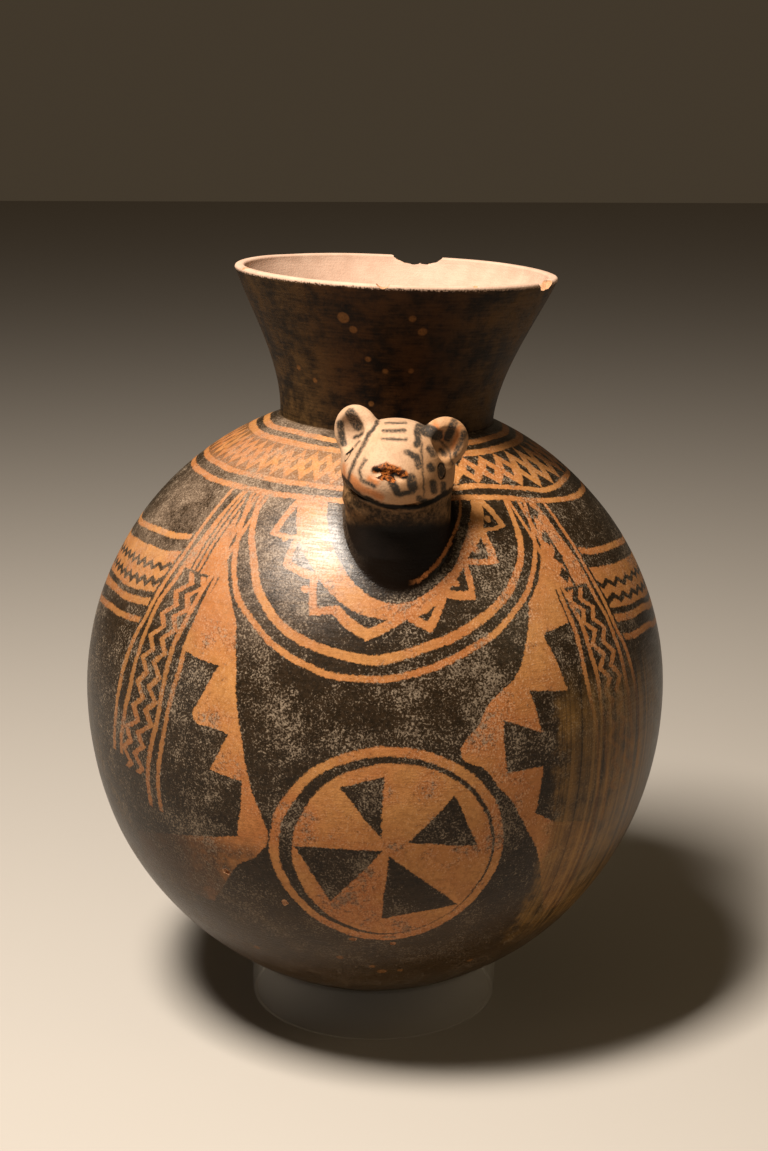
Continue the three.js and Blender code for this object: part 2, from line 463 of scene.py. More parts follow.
def head_shape(points):
    """Below zero inside the head, its throat and the fillet at their root."""
    local = (points - np.array(HEAD_CENTRE)) @ np.array(head_turn)
    face = blend_in(oval(local, *SKULL), oval(local, *SNOUT), 9)
    face = blend_in(face, oval(local, *BROW), 7)
    face = blend_in(face, oval(local, *JAW), 3)
    for ear in EARS:
        face = with_ear(face, local, *ear)
    face = cut_out(face, mouth_groove(local), 1.2)
    for side in (-1, 1):
        nostril = oval(local, (-1 + side * 4.6, -32.5, 6.6), (2.6, 2.6, 1.7))
        face = cut_out(face, nostril, 1.0)
    x, y, z = points.T
    round_throat = np.sqrt((x - THROAT_X) ** 2 + (y - THROAT_Y) ** 2)
    skin = shoulder(points) + 0.5
    throat = np.maximum(round_throat - THROAT_RADIUS - 1.2 * np.clip((100 - z) / 20, 0, 1), z - 124)
    whole = blend_in(throat, face, 4)
    whole = blend_in(whole, skin, 3)
    whole = cut_out(whole, skin + 2.6, 1.5)
    return cut_out(whole, 39 - round_throat, 1.5)


def settled(value, nudge):
    """The same grid of values, with no face whose corners alternate between in and out."""
    value = value.copy()
    pair = (slice(None, -1), slice(1, None))
    for _ in range(6):
        changed = 0
        for a, b in ((0, 1), (1, 2), (0, 2)):
            def corner(i, j):
                cut = [slice(None)] * 3
                cut[a], cut[b] = pair[i], pair[j]
                return value[tuple(cut)]
            near, far, left, right = corner(0, 0), corner(1, 1), corner(1, 0), corner(0, 1)
            mixed = ((near < 0) == (far < 0)) & ((left < 0) == (right < 0)) & ((near < 0) != (left < 0))
            for part in (near, far, left, right):
                part[mixed & (part >= 0)] = -nudge
            changed += int(mixed.sum())
        if not changed:
            break
    return value


def surface_net(shape, low, high, step):
    """A closed mesh of quads round where a shape is below zero."""
    counts = np.ceil((np.array(high) - low) / step).astype(int) + 1
    axes = [low[i] + step * np.arange(counts[i]) for i in range(3)]
    grid = np.stack(np.meshgrid(*axes, indexing="ij"), -1)
    value = shape(grid.reshape(-1, 3)).reshape(counts)
    value = settled(value, 0.02 * step)
    inside = value < 0
    total = np.zeros((*(counts - 1), 3))
    crossings = np.zeros(counts - 1)
    corners = [(i, j, k) for i in (0, 1) for j in (0, 1) for k in (0, 1)]

    def corner(data, offset):
        return data[tuple(slice(o, counts[a] - 1 + o) for a, o in enumerate(offset))]

    for first in corners:
        for axis in range(3):
            if first[axis] == 1:
                continue
            second = tuple(o + (a == axis) for a, o in enumerate(first))
            v0, v1 = corner(value, first), corner(value, second)
            crossed = (v0 < 0) != (v1 < 0)
            part = np.where(crossed, v0 / np.where(crossed, v0 - v1, 1), 0)
            for a in range(3):
                along = part if a == axis else first[a]
                total[..., a] += np.where(crossed, along, 0)
            crossings += crossed
    used = crossings > 0
    number = np.full(used.shape, -1)
    number[used] = np.arange(used.sum())
    cell = np.argwhere(used)
    vertices = np.array(low) + step * (cell + total[used] / crossings[used][:, None])
    quads = []
    for axis in range(3):
        b, c = (axis + 1) % 3, (axis + 2) % 3
        ahead = np.roll(inside, -1, axis)
        crossed = inside != ahead
        for a in range(3):
            edge = [slice(None)] * 3
            edge[a] = slice(-1, None)
            crossed[tuple(edge)] = False
            edge[a] = slice(0, 1)
            if a != axis:
                crossed[tuple(edge)] = False
        place = np.argwhere(crossed)
        outward = inside[crossed]
        ring = []
        for db, dc in ((-1, -1), (0, -1), (0, 0), (-1, 0)):
            cell = place.copy()
            cell[:, b] += db
            cell[:, c] += dc
            ring.append(number[tuple(cell.T)])
        ring = np.stack(ring, -1)
        ring[~outward] = ring[~outward][:, ::-1]
        quads.append(ring)
    for _ in range(3):
        value = shape(vertices)
        slope = np.stack([(shape(vertices + d) - value) / 0.05 for d in 0.05 * np.eye(3)], -1)
        size = (slope ** 2).sum(-1)
        move = -(value / np.maximum(size, 0.2))[:, None] * slope
        vertices = vertices + np.clip(move, -0.3, 0.3) * 0.8
    return vertices, np.concatenate(quads)


# Cutters

def rough_lump(name, place, radii, turn=0.0, rough=0.12, grain=0.35, seed=0, detail=5):
    """A ball with a broken-looking surface, to cut with."""
    mesh = bpy.data.meshes.new(name)
    shape = bmesh.new()
    bmesh.ops.create_icosphere(shape, subdivisions=detail, radius=1)
    spin = Matrix.Rotation(turn, 3, "Z")
    for vertex in shape.verts:
        way = Vector([a * b for a, b in zip(vertex.co, radii)])
        jitter = noise.noise(way * grain + Vector((seed, 0, 0))) + 0.5 * noise.noise(way * grain * 3.1)
        vertex.co = Vector(place) + spin @ (way * (1 + rough * jitter))
    shape.to_mesh(mesh)
    shape.free()
    return mesh


def object_of(mesh, finish):
    mesh.materials.clear()
    mesh.materials.append(finish)
    made = bpy.data.objects.new(mesh.name, mesh)
    bpy.context.scene.collection.objects.link(made)
    return made


def combined(base, tool, operation):
    """The base after one join or cut. Its faces keep the finish they come from."""
    modifier = base.modifiers.new("joined", "BOOLEAN")
    modifier.solver = "MANIFOLD"
    modifier.operation = operation
    modifier.material_mode = "TRANSFER"
    modifier.object = tool
    graph = bpy.context.evaluated_depsgraph_get()
    result = bpy.data.meshes.new_from_object(base.evaluated_get(graph), depsgraph=graph)
    base.modifiers.clear()
    old = base.data
    base.data = result
    bpy.data.meshes.remove(old)
    bpy.data.objects.remove(tool)


def body_place(around, down, lift=0.0):
    """A point on the body, from degrees round from the front and down from the top."""
    a, p = math.radians(around), math.radians(down)
    way = Vector((math.sin(p) * math.sin(a), -math.sin(p) * math.cos(a), math.cos(p)))
    tall = BODY_ABOVE if way.z > 0 else BODY_BELOW
    reach = 1 / math.sqrt((way.x ** 2 + way.y ** 2) / BODY_RADIUS ** 2 + (way.z / tall) ** 2)
    return way * (reach + lift)


# The eyes: degrees to each side of the face, and how far up each one looks
EYE_ANGLE = 55
EYE_RISE = {1: 0.22, -1: 0.28}
CANE_WALL = (0.55, 0.9)
CANE_DEPTH = 0.1
# Reaches from the head's centre at which its surface is looked for: first, last and stride
SEARCH = (15, 35, 0.05)


def eye_ring(side):
    """A ring cutter, as pressed with the end of a hollow cane."""
    angle = side * math.radians(EYE_ANGLE)
    way = Vector((math.sin(angle), -0.95 * math.cos(angle), EYE_RISE[side]))
    start, _, stride = SEARCH
    places = [np.array(HEAD_CENTRE + head_turn @ way * reach) for reach in np.arange(*SEARCH)]
    outside = head_shape(np.array(places)) > 0
    middle = way * (start + stride * int(np.argmax(outside)) - CANE_DEPTH)
    mesh = bpy.data.meshes.new("cane mark")
    shape = bmesh.new()
    turn, across = 40, 10
    spin = head_turn @ Matrix.Rotation(angle, 3, "Z") @ Matrix.Rotation(math.radians(90), 3, "X")
    rows = []
    for i in range(turn):
        a = math.tau * i / turn
        row = []
        for j in range(across):
            b = math.tau * j / across
            radius = CANE_RADIUS + CANE_WALL[0] * math.cos(b)
            local = Vector((radius * math.cos(a), radius * math.sin(a), CANE_WALL[1] * math.sin(b)))
            row.append(shape.verts.new(HEAD_CENTRE + head_turn @ middle + spin @ local))
        rows.append(row)
    for i in range(turn):
        for j in range(across):
            k, m = (i + 1) % turn, (j + 1) % across
            shape.faces.new((rows[i][j], rows[k][j], rows[k][m], rows[i][m]))
    bmesh.ops.recalc_face_normals(shape, faces=shape.faces)
    shape.to_mesh(mesh)
    shape.free()
    return mesh


# The bottle, whole and then worn

HEAD_BOX = (-40.5, -133.0, 34.0), (42.5, -49.0, 152.0)
HEAD_STEP = 0.9
# Chips in the lip: degrees round, length and depth
CHIPS = [(168, 28, 5.5), (61, 17, 4.5), (-8, 6, 2.5), (-71, 4, 1.6), (24, 3, 1.2)]
NOSE_TIP = Vector((-0.6, -32.6, 7.4))
# Pits at the belly: degrees round, degrees down, width and height
PITS = [(-32, 113, 2.2, 1.6), (-20, 118, 1.6, 2.6), (-6, 126, 1.8, 1.4), (3, 127, 1.6, 1.2)]


def lean_neck(mesh):
    places = np.empty(len(mesh.vertices) * 3)
    mesh.vertices.foreach_get("co", places)
    places = places.reshape(-1, 3)
    places[:, 0] += np.maximum(0, places[:, 2] - WAIST_HEIGHT) * NECK_LEAN
    mesh.vertices.foreach_set("co", places.ravel())


def wear(bottle, broken):
    """Chips in the lip, the broken nose and pits, cut by lumps whose faces stay marked as broken."""
    drift = (RIM_HEIGHT - WAIST_HEIGHT) * NECK_LEAN
    middle = RIM_RADIUS - NECK_WALL / 2
    for number, (around, long, deep) in enumerate(CHIPS):
        a = math.radians(around)
        place = (middle * math.sin(a) + drift, -middle * math.cos(a), RIM_HEIGHT + 0.8)
        lump = rough_lump("chip", place, (long / 2, 6.5, deep), a, 0.16, 0.3, number)
        combined(bottle, object_of(lump, broken), "DIFFERENCE")
    nose = HEAD_CENTRE + head_turn @ NOSE_TIP
    lump = rough_lump("nose break", nose, (7.6, 2.6, 2.9), HEAD_ANGLES[2], 0.3, 0.5, 7)
    combined(bottle, object_of(lump, broken), "DIFFERENCE")
    for number, (around, down, wide, tall) in enumerate(PITS):
        place = body_place(around, down, 0.6)
        lump = rough_lump("pit", place, (wide, wide, tall), math.radians(around), 0.3, 0.8, number, 4)
        combined(bottle, object_of(lump, broken), "DIFFERENCE")


def mark_broken(mesh):
    """Keeps which faces are broken in an attribute, in place of their material."""
    marks = np.empty(len(mesh.polygons), dtype=np.int32)
    mesh.polygons.foreach_get("material_index", marks)
    names = [m.name if m else "" for m in mesh.materials]
    flags = np.array([float(names[i].startswith("broken")) for i in marks])
    mesh.attributes.new("broken", "FLOAT", "FACE").data.foreach_set("value", flags)
    mesh.polygons.foreach_set("material_index", np.zeros(len(marks), dtype=np.int32))
    mesh.materials.clear()


def bottle_mesh():
    whole = bpy.data.materials.new("whole surface")
    broken = bpy.data.materials.new("broken surface")
    vessel = turned("bottle", vessel_profile(), whole, **{
        "Columns": 250, "Crowding": 0.45, "Unevenness": 1.6,
        "Smooth Place": (THROAT_X, THROAT_Y, 100.0), "Smooth Reach": 46.0})
    lean_neck(vessel)
    bottle = object_of(vessel, whole)
    points, quads = surface_net(head_shape, *HEAD_BOX, HEAD_STEP)
    head = bpy.data.meshes.new("head")
    head.from_pydata(points.tolist(), [], quads.tolist())
    combined(bottle, object_of(head, whole), "UNION")
    for side in (-1, 1):
        combined(bottle, object_of(eye_ring(side), whole), "DIFFERENCE")
    wear(bottle, broken)
    mesh = bottle.data
    mark_broken(mesh)
    mesh.transform(bottle_place)
    mesh.polygons.foreach_set("use_smooth", [True] * len(mesh.polygons))
    mesh.set_sharp_from_angle(angle=math.radians(55))
    bottle.name = "pottery_bottle"
    bpy.data.materials.remove(whole)
    bpy.data.materials.remove(broken)
    return bottle


# The painted design, in degrees round from the front and degrees down from the top of the body

HEAD_DOWN = 38
SIDE_DOWN = 90


def about_head(points):
    """Angle and reach from the root of the head, in degrees."""
    places = []
    for around, down in points:
        below = down - HEAD_DOWN
        places.append((math.degrees(math.atan2(around, below)), math.hypot(around, below)))
    return sorted(places)


COLLAR_THIRD = [
    (-180, 37.6), (-90, 37.2), (-30, 36.7), (10, 36.3), (25, 35.5), (35, 36.3), (45, 37.7), (52, 38.7),
    (75, 38.5), (180, 37.6),
]
COLLAR_FOURTH = [
    (-180, 41.2), (-90, 40.4), (-29, 39.6), (0, 39), (19, 37.9), (30, 38.6), (40, 40), (50, 41.1),
    (78, 42.7), (180, 41.2),
]
U_INSIDE = [
    (-39, 41), (-37.5, 45), (-35, 50), (-31.5, 55), (-28, 60), (-20, 65.7), (-10, 68.7), (-5, 69.2),
    (0, 68.5), (10, 65.5), (20, 60.5), (25, 57), (28, 54), (30, 51.6), (33.5, 41),
]
U_OUTSIDE = [
    (-42.5, 41), (-41, 45), (-39, 50), (-37, 54.5), (-33.5, 60), (-25, 67), (-15, 71.5), (-10, 72.5),
    (-5, 72.5), (5, 71), (15, 67), (20, 64.5), (25, 61.3), (31, 56), (34, 52), (38, 45), (40, 41),
]
STEPPED_EDGE = [
    (26.5, 40), (29, 44.8), (22.5, 45.3), (23.3, 52), (16, 51.5), (16.2, 58.2), (10, 57.8),
    (6.5, 63.8), (2, 61.5), (-5.4, 65.3), (-12.5, 61), (-17, 61.7), (-17.8, 55.3), (-24.6, 53.6),
    (-23.7, 48.2), (-30.4, 48), (-28, 41),
]
STRIP_OUTSIDE = [
    (22.5, 38.3), (20, 43), (17.5, 47), (15, 50.3), (11, 54), (6, 57.2), (1, 59.2), (-4, 58.4),
    (-8.5, 56), (-12.5, 52), (-15.5, 47.5), (-18, 43), (-19, 38.5),
]
STRIP_INSIDE = [
    (19.5, 38.5), (17.8, 42.5), (15, 46.5), (12, 50), (8, 53.2), (3, 55.8), (0, 56.3), (-3, 55.4),
    (-6.5, 52.8), (-9.5, 49.3), (-12.5, 45), (-14.5, 40), (-15, 38.5),
]
OUTER_STRIPE = [
    (50.5, 41), (51.5, 50), (52.5, 57), (54, 62), (55.5, 68), (57, 72), (58.5, 77), (60, 90), (61, 95),
]
SECOND_STRIPE = [
    (47, 44), (48.5, 50), (50, 55), (51, 60), (53, 65), (54.3, 72), (55.7, 80), (56.5, 87), (58, 95),
]
THIRD_STRIPE = [
    (40.7, 50), (40.7, 55), (42, 60), (43.3, 65), (44.3, 70), (45.3, 75), (46, 80), (47.8, 90), (49, 95),
    (50.2, 104),
]
FOURTH_STRIPE = [
    (39, 52), (39.8, 57), (40.5, 62), (41.3, 68), (42, 75), (43, 80), (44.3, 85), (46, 95), (47, 104),
]
ZIGZAG_LINE = [
    (42.3, 60.5), (43.8, 64), (45.2, 68.3), (46.5, 73), (47.3, 77.5), (48.5, 87.5), (50.3, 91.5),
    (51, 96.5),
]
LEFT_FLAME_TEETH = [
    (-38.2, 55), (-40, 62), (-41.3, 68), (-41.6, 72.2), (-33.8, 73.3), (-37.8, 82.5), (-37, 84.2),
    (-30, 85), (-33.2, 92.3), (-26.5, 93.2), (-28, 104), (-35, 106), (-44, 108), (-58, 112), (-60, 122),
]
LEFT_FLAME_EDGE = [
    (-38.2, 54), (-36, 56), (-34.2, 61), (-32, 65), (-31, 70), (-30, 75), (-28.5, 80), (-27.2, 85),
    (-26, 90), (-24.5, 95), (-22.7, 100), (-21.8, 103), (-24, 107), (-29, 110.5), (-33, 116), (-38, 122),
]
RIGHT_FLAME_EDGE = [
    (33, 54.5), (30.1, 57.4), (27.2, 64.8), (22.8, 72.9), (20, 75), (17, 77.5), (15, 81), (12.6, 83.8),
    (12.3, 85.5), (16.7, 88.7), (20.3, 92.7), (23.8, 96.8), (26.6, 101.2), (29.7, 105.9), (33.3, 113.1),
    (37.2, 119.8), (43, 127),
]
RIGHT_FLAME_TEETH = [
    (34, 54.5), (36.5, 58), (37.5, 64.6), (30.5, 66), (34.4, 76.1), (28.2, 83), (28.6, 89.5), (28, 98),
    (33, 101), (45, 104), (45, 120), (46, 127),
]
RIGHT_FLAME_CUTS = [
    [(25.7, 75.2), (35.5, 76.4), (36, 83), (27.9, 82.9)],
    [(19.9, 80.1), (30, 83.8), (30, 89.2), (20.9, 89.5)],
]
TOOTH_EDGE = [(-80, 27), (-45, 24), (0, 24.2), (45, 21), (75, 24)]
PUPILS = [(19.5, 49.3), (12.5, 55.5), (5.5, 60.3), (-19, 57.5), (-26.5, 48.5), (24.8, 43)]
WEDGE_DIAMONDS = [(44, 43), (43, 48.5), (44, 52.3), (43.5, 55.8)]
SIDE_ROW = [(52, 52), (60, 53.3), (75, 54.3), (87, 55.5)]
SIDE_FIELD = [(52, 65.7), (65, 67), (75, 67.5), (87, 69.2)]
DISC_RIM = (0.1, 104.85), (21.8, 20.9)
DISC_HUB = (1.0, 105.3), (18.6, 18.4)
VANES = [
    [(-1.1, 101.1), (-8.8, 92.1), (-1.3, 89.6)],
    [(3.8, 102.3), (11.5, 93.1), (16.6, 103.2)],
    [(-1.1, 104), (-17.1, 104), (-10.3, 115.8)],
    [(0.4, 105.2), (-0.3, 119.6), (14.8, 116.8)],
]


class Design:
    """The orange slip over the dark slip. Each part is 1 where it is orange, 0 where it is dark."""

    def __init__(self, tree, around, down):
        self.tree = tree
        self.around = around
        self.down = down
        self.low = down - SIDE_DOWN

    def beside(self, across, points, smooth=True):
        """How far a place is to the side of a line that runs down the body."""
        heights = [(down - SIDE_DOWN, around) for around, down in points]
        return across - curve(self.low, heights, smooth)

    def round_head(self, points, smooth=True):
        """How far a place is outside a line round the head."""
        return self.reach - curve(self.turn, about_head(points), smooth)

    def collar(self):
        """Four lines round the shoulder, with a lattice between the two pairs, fainter on the left."""
        around, down = self.around, self.down
        third = down - curve(around, COLLAR_THIRD)
        self.fourth = down - curve(around, COLLAR_FOURTH)
        lines = line(down - 23.9, 0.7) | line(down - 26.9, 0.8) | line(third, 0.6) | line(self.fourth, 0.6)
        self.repeat = (around | 0) / 8 + (around & 0) / 5.5385
        wave = zigzag(self.repeat)
        share = (down - 27.7) / ((down - third) - 28.3)
        hanging = below(share - (1 - wave) * 0.36, 0, 0.03)
        standing = above(share + (1 - wave) * 0.34, 1, 0.03)
        diamond = below(abs(share - 0.5) / 0.2 + (1 - wave) / 0.45, 1, 0.06)
        lattice = line(share - 0.5, 0.5, 0.01) * (1 - (hanging | standing | diamond))
        faded = line(share - 0.5, 0.5, 0.01) * below(around, -12, 6) * above(around, -100, 20)
        return lines | lattice | faded * 0.42

    def panel(self):
        """The panel round the head: two U lines, the stepped edge with its teeth, and a strip inside."""
        tree = self.tree
        around, down = self.around, self.down
        self.turn = tree.math("ARCTAN2", around, down - HEAD_DOWN) * math.degrees(1)
        self.reach = tree.math("SQRT", around * around + (down - HEAD_DOWN) * (down - HEAD_DOWN))
        inside = self.round_head(U_INSIDE)
        self.outside = self.round_head(U_OUTSIDE)
        steps = self.round_head(STEPPED_EDGE, False)
        strip_out = self.round_head(STRIP_OUTSIDE)
        strip_in = self.round_head(STRIP_INSIDE)
        self.below_collar = above(self.fourth, 0.6)
        ground = below(steps, 0.6) * above(strip_out, 0)
        tooth = below(steps, -1.5) * above(self.reach - curve(self.turn, TOOTH_EDGE), 0)
        pupils = either(
            below(tree.spot(around, down, place, (0.9, 0.7)), 1, 0.2) for place in PUPILS)
        panel = ground * (1 - tooth) | pupils | line(strip_in + 0.4, 0.35) * above(around, 4, 2)
        panel = panel | line(inside, 0.85) | line(self.outside, 0.6)
        return panel * below(self.outside, 1)

    def stripes(self):
        """Stripes, zigzags and a wedge at each side, drawn once and mirrored with a small stretch."""
        around, down = self.around, self.down
        wide = self.wide = (around * -1) | (around * 1.065)
        first = self.first = self.beside(wide, OUTER_STRIPE)
        second = self.beside(wide, SECOND_STRIPE)
        third = self.beside(wide, THIRD_STRIPE)
        fourth = self.beside(wide, FOURTH_STRIPE)
        stripes = (line(first, 0.6) | line(second, 0.6)) * below(down, 96)
        stripes = stripes | (line(third, 0.6) | line(fourth, 0.55)) * below(down, 104)
        stripes = stripes * self.below_collar
        between = below(second, 0) * above(third, 0)
        weave = zigzag((down - 60.5) / 4.5) * 2.4
        near = self.beside(wide, ZIGZAG_LINE) - weave
        lower = above(down, 58.5) * below(down, 98)
        stripes = stripes | (line(near, 0.8) | line(near - 3.7, 0.8)) * between * lower
        wedge = below(second, 0) * above(self.outside, 1.6) * below(down, 58) * self.below_collar
        diamonds = either(
            below(abs(wide - place[0]) / 1.7 + abs(down - place[1]) / 1.5, 1, 0.1)
            for place in WEDGE_DIAMONDS)
        thin = line(first + 4.6, 0.3) | line(first + 6.1, 0.3) | line(first + 7.6, 0.3)
        thin = thin * below(around, 0) | line(first + 7.2, 0.45) * above(around, 0) * above(down, 47)
        return stripes | wedge * (1 - diamonds * above(around, 0)) * (1 - thin)

    def rows(self):
        """Two pairs of lines with combs between them, outside the stripes and round the back."""
        self.side = above(self.first, 1.4)
        wide = self.wide & SIDE_ROW[-1][0]
        row = self.down - curve(wide, SIDE_ROW)
        field = self.down - curve(wide, SIDE_FIELD)
        rows = line(row, 0.6) | line(row - 3.75, 0.6) | line(field, 0.7) | line(field - 3.6, 0.6)
        depth = row - 3.75
        comb = zigzag(self.repeat * 1.6)
        combs = line(depth - 2.2 - comb * 1.1, 0.55) | line(depth - 5.2 - comb * 1.1, 0.6)
        combs = combs | line(depth - 8.2, 0.6)
        return rows | above(depth, 0) * below(field, 0) * (1 - combs)

    def flames(self):
        """The two toothed flames that run down from the panel."""
        tree = self.tree
        around, down = self.around, self.down
        left = above(self.beside(around, LEFT_FLAME_TEETH, False), 0)
        left = left * below(self.beside(around, LEFT_FLAME_EDGE), 0) * above(down, 55) * below(down, 122)
        right = above(self.beside(around, RIGHT_FLAME_EDGE), 0)
        right = right * below(self.beside(around, RIGHT_FLAME_TEETH, False), 0)
        right = right * above(down, 57) * below(down, 124)
        for corners in RIGHT_FLAME_CUTS:
            right = right * above(tree.polygon(around, down, corners), 0)
        return left | right

    def with_disc(self, paint):
        """The windmill disc, on ground that is cleared of other paint."""
        tree = self.tree
        rim = tree.spot(self.around, self.down, *DISC_RIM)
        hub = tree.spot(self.around, self.down, *DISC_HUB)
        vanes = either(
            below(tree.polygon(self.around, self.down, corners), 0.1) for corners in VANES)
        disc = line(rim - 0.96, 0.04, 0.008) | below(hub, 1, 0.01) * (1 - vanes)
        return paint * above(rim, 1.02, 0.01) | disc

    def whole(self):
        paint = self.collar()
        panel = self.panel()
        stripes = self.stripes()
        rows = self.rows()
        paint = paint | panel * self.below_collar | stripes | rows * self.side
        paint = paint | self.flames() * above(self.outside, 1.4)
        return self.with_disc(paint)


# The face is painted on a plane across it, in steps of 0.42 mm from the bridge of the nose.
# A mark has two ends and half its width.
FACE_ACROSS = (2.39, 0.28, 0.28)
FACE_DOWN = (0.36, -0.78, -2.27)
FACE_MARKS = [
    ((-11, -43), (9, -43), 1.2), ((-13, -35), (8, -35), 1.8), ((-15, -26.5), (9, -26), 1.5),
    ((24, -38), (40, -31), 6.5), ((21, -37), (20, -22), 3.8),
    ((41, -28), (51, -18), 1.2), ((51, -18), (56, -2), 1.1),
    ((-20, -44), (-29, -30), 2.3), ((-29, -30), (-39, -11), 1.9),
    ((-39, -11), (-46, 6), 1.8), ((-46, 6), (-48, 16), 1.8),
    ((-31, -6), (-37, 4), 1.7), ((-37, 4), (-35, 14), 1.8), ((-35, 14), (-22, 20), 2.1),
    ((10, -13), (19, -9), 3.4), ((19, -9), (22, 0), 3.8), ((14, 12), (16, 22), 4.8),
    ((15, 26), (2, 28), 2.8), ((-5, 17), (0, 26), 4.0), ((25, 2), (27, 30), 0.9),
    ((22, 32), (30, 37), 3.2), ((24, -22), (25, -2), 1.0),
    ((33, -17), (36, -11), 3.8), ((45, -16), (48, -11), 2.6), ((33, 0), (35, 3), 3.8),
    ((36, 17), (37, 25), 3.6), ((46, 18), (47, 28), 2.8), ((44, 1), (45, 8), 4.2),
    ((-47, -53), (-40, -41), 5.6), ((-58, -43), (-55, -23), 3.9), ((-43, -28), (-35, -33), 1.6),
    ((-42, -20), (-37, -25), 1.2), ((57, -43), (51, -28), 4.6), ((68, -33), (59, -12), 2.8),
]
WARM_MARKS = [
    ((-46, 12), (-37, 22), 4.5), ((-37, 22), (-17, 30), 4.0), ((-53, 0), (-53, 12), 2.5),
    ((63, -38), (56, -18), 2.0), ((38, -42), (47, -27), 2.6), ((-27, 13), (-20, 17), 3.0),
]
NOSE_BREAK = [((-21, 4), (-10, 1), 4.0), ((-10, 1), (7, 9), 4.8)]
NOSTRILS = [((-21, 4), (-17, 5), 2.4), ((-3, 9), (0, 12), 3.0), ((6, 12), (10, 12), 2.2)]
EYES = [(19.6, -13.0, 5.2), (-19.6, -13.0, 6.7)]
EYE_SLIT = [((-50, -11.5), (-44, -17), 1.0)]
SMILE = [(-60, 6), (-48, 18), (-37, 29), (-25, 35), (1, 41.5), (20, 41), (34, 36), (60, 22)]
# Small flakes gone from the slip, on the neck and under the belly, and their radii
FLAKES = [
    ((-24.1, -61.6, 181.8), 2.7), ((-19.6, -60.7, 176.7), 1.8), ((5.1, -67.1, 183), 1.6),
    ((9.8, -63.8, 177.2), 2.0), ((-12.6, -56.5, 163.5), 1.3), ((-4.9, -55.7, 158.3), 1.2),
    ((6.3, -55.9, 158.9), 1.2), ((-42, -34.6, 155.5), 1.3), ((-34.7, -40, 150.9), 1.2),
    ((-10.1, -50, 142.9), 1.2), ((-16.6, -102.5, -96), 1.6), ((2.8, -95, -106), 2.2),
    ((-2, -98.9, -101.7), 1.4), ((10.9, -95, -105.3), 1.3), ((43, -87.3, -103.5), 1.5),
    ((-53.3, -85.4, -99.8), 1.5),
]


# Tones of the slips and the clay, some of them with painted shade and shadow in them. A pair runs from deep
# to pale.

BLACK_SLIP = (0.002, 0.0012, 0.0005), (0.024, 0.014, 0.006)
BELLY_BLACK = (0.006, 0.003, 0.001), (0.062, 0.032, 0.009)
# Painted shadow on the black slip of the head's column and the corner at its root
ROOT_SHADOW_BLACK = (0.004, 0.002, 0.001)
RUBBED_BLACK = (0.036, 0.020, 0.009)
FLECKS = (0.10, 0.065, 0.038), (0.34, 0.26, 0.18)
ORANGE_SLIP = (0.40, 0.165, 0.042), (0.33, 0.092, 0.020)
ORANGE_SHADE = (0.11, 0.04, 0.009)
ORANGE_LIGHT = (0.72, 0.38, 0.15)
ORANGE_GRAIN = (0.16, 0.058, 0.012)
RED_PATCH = (0.23, 0.060, 0.012)
ORANGE_FLECK = (0.70, 0.45, 0.26)
# Olive brown, partly wear and partly painted shade
WORN_AND_SHADED_OLIVE = (0.028, 0.014, 0.003), (0.20, 0.102, 0.026)
OLIVE_FLECK = (0.30, 0.20, 0.10)
DUST = (0.36, 0.25, 0.17)
NECK_BLACK = (0.0015, 0.0006, 0.0002), (0.042, 0.016, 0.0035)
NECK_BROWN = (0.010, 0.005, 0.001), (0.090, 0.050, 0.016)
FLAKED_CLAY = (0.05, 0.017, 0.003), (0.24, 0.10, 0.025)
CREAM_SLIP = (0.28, 0.145, 0.065), (0.60, 0.41, 0.27)
# Tan of the right cheek, partly painted shade
SHADED_TAN_CHEEK = (0.34, 0.165, 0.062)
ORANGE_STAIN = (0.42, 0.13, 0.03)
CREAM_GRAIN = (0.15, 0.065, 0.028)
GREY_PAINT = (0.008, 0.006, 0.004), (0.060, 0.045, 0.033)
# Painted shade in the pressed eye rings
EYE_GROOVE_SHADE = (0.006, 0.004, 0.003)
MOUTH_BLACK = (0.004, 0.003, 0.002)
# Brown of the jaw, with painted shade under the snout
SHADED_JAW_BROWN = (0.014, 0.007, 0.002), (0.17, 0.09, 0.038)
# Black slip with painted shadow under the jaw
THROAT_SHADOW_BLACK = (0.001, 0.0006, 0.0003), (0.008, 0.004, 0.002)
BARE_CLAY = (0.36, 0.22, 0.15), (0.60, 0.42, 0.31)
BROKEN_CLAY = (0.20, 0.075, 0.028), (0.62, 0.36, 0.20)
BROKEN_NOSE = (0.025, 0.007, 0.002), (0.30, 0.085, 0.014)


